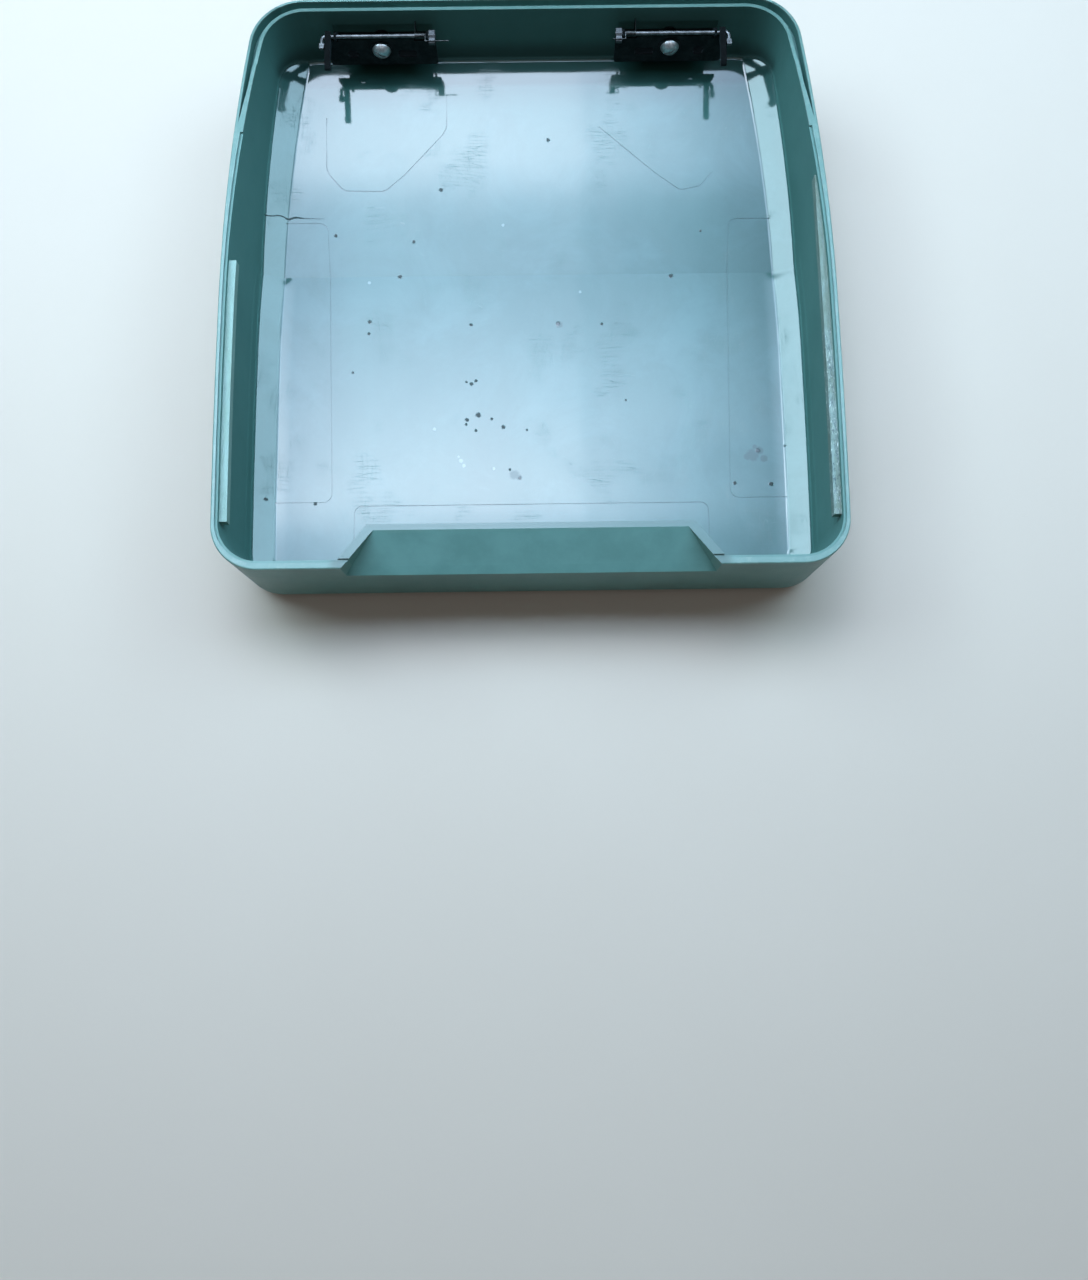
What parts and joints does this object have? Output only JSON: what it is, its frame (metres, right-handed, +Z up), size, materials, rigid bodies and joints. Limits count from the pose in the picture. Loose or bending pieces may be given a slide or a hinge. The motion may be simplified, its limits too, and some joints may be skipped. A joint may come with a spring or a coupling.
{
  "type": "typewriter case cover",
  "caption": "Lift-off moulded plastic cover of a portable typewriter case, open side up, with sprung push-button latches inside its front wall.",
  "frame": {"origin": "middle of the cover's outline, on the surface that its flat outer top lies on", "axes": "+Z up out of the open side, +Y towards the front wall with the latches, +X to the right of someone looking along +Y"},
  "size_m": [0.3074, 0.31, 0.065],
  "materials": {
    "teal_shell": "satin moulded plastic, glossier inside, worn and marked",
    "strip_plastic": "dull, slightly ragged",
    "dark_steel": "blackened steel",
    "bright_steel": "zinc plated",
    "spring_wire": "spring steel",
    "black_plastic": "satin"
  },
  "bodies": {
    "cover": {"cover_shell": "teal_shell", "left_guide_strip": "strip_plastic", "right_guide_strip": "strip_plastic", "left_latch_bracket": "dark_steel", "left_latch_rod": "bright_steel", "left_latch_spring": "spring_wire", "left_bracket_rivets": "dark_steel", "left_button_bezel": "black_plastic", "right_latch_bracket": "dark_steel", "right_latch_rod": "bright_steel", "right_latch_spring": "spring_wire", "right_bracket_rivets": "dark_steel", "right_button_bezel": "black_plastic"},
    "left_catch": {"left_catch_plate": "dark_steel", "left_stud_washer": "dark_steel", "left_catch_stud": "bright_steel"},
    "left_button": {"left_push_button": "black_plastic", "left_button_clip": "spring_wire"},
    "right_catch": {"right_catch_plate": "dark_steel", "right_stud_washer": "dark_steel", "right_catch_stud": "bright_steel"},
    "right_button": {"right_push_button": "black_plastic", "right_button_clip": "spring_wire"}
  },
  "joints": [
    {"name": "left_catch_tilt", "type": "hinge", "parent": "cover", "child": "left_catch", "pos_m": [-0.076, 0.1393, 0.0565], "axis": [-1, 0, 0], "range_deg": [0, 14], "stiffness_Nm_per_rad": 0.05, "springref_deg": -11.46, "deforming": ["left_latch_spring"]},
    {"name": "left_button_push", "type": "slide", "parent": "cover", "child": "left_button", "axis": [0, -1, 0], "range_m": [0, 0.0021]},
    {"name": "right_catch_tilt", "type": "hinge", "parent": "cover", "child": "right_catch", "pos_m": [0.076, 0.1393, 0.0565], "axis": [-1, 0, 0], "range_deg": [0, 14], "stiffness_Nm_per_rad": 0.05, "springref_deg": -11.46, "deforming": ["right_latch_spring"]},
    {"name": "right_button_push", "type": "slide", "parent": "cover", "child": "right_button", "axis": [0, -1, 0], "range_m": [0, 0.0021]}
  ],
  "couplings": [
    {"joint": "left_button_push", "follows": "left_catch_tilt", "m_per_rad": 0.008593},
    {"joint": "right_button_push", "follows": "right_catch_tilt", "m_per_rad": 0.008593}
  ]
}
